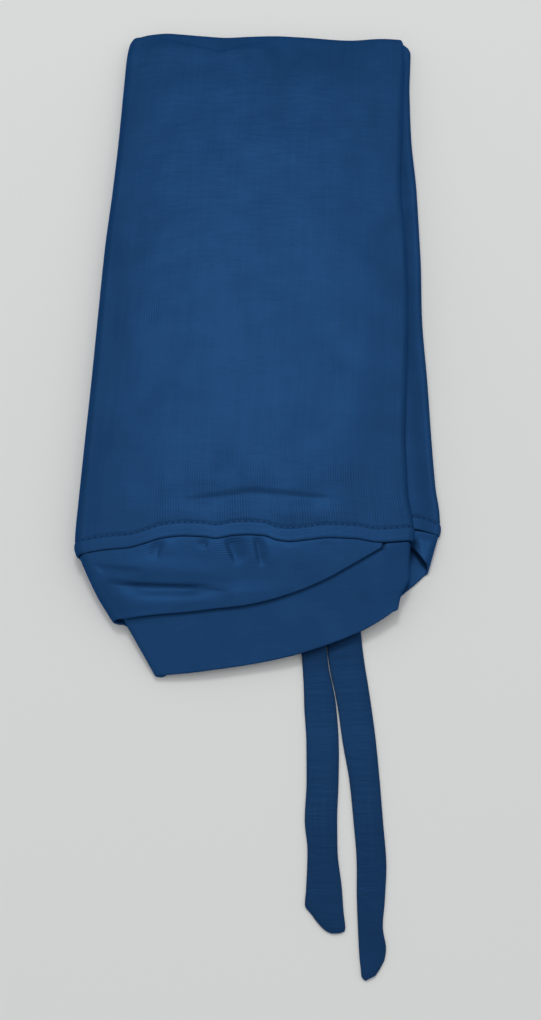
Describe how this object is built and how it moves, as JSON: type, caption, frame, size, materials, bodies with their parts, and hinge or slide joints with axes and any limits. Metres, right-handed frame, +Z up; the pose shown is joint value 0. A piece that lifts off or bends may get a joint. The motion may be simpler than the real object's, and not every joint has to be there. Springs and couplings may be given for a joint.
{
  "type": "criss-cross underscarf cap",
  "caption": "Jersey underscarf cap lying folded in half, with a closed crown, a stitched hem, crossing front bands and flat ties at the nape.",
  "frame": {"origin": "centre of the lying cap's bounding box, at the floor", "axes": "+Y from the free ends of the ties towards the closed crown, +X from the outer (forehead) fold towards the side folds, +Z up from the floor"},
  "size_m": [0.1393, 0.4238, 0.0119],
  "materials": {
    "body_jersey": "matt viscose jersey, ocean blue",
    "band_jersey": "matt viscose jersey, ocean blue, doubled",
    "tie_jersey": "matt viscose jersey, ocean blue, doubled strip"
  },
  "bodies": {
    "root": {"cap_body": "body_jersey", "front_band_over": "band_jersey", "front_band_under": "band_jersey", "tie_left": "tie_jersey", "tie_right": "tie_jersey"}
  },
  "joints": []
}
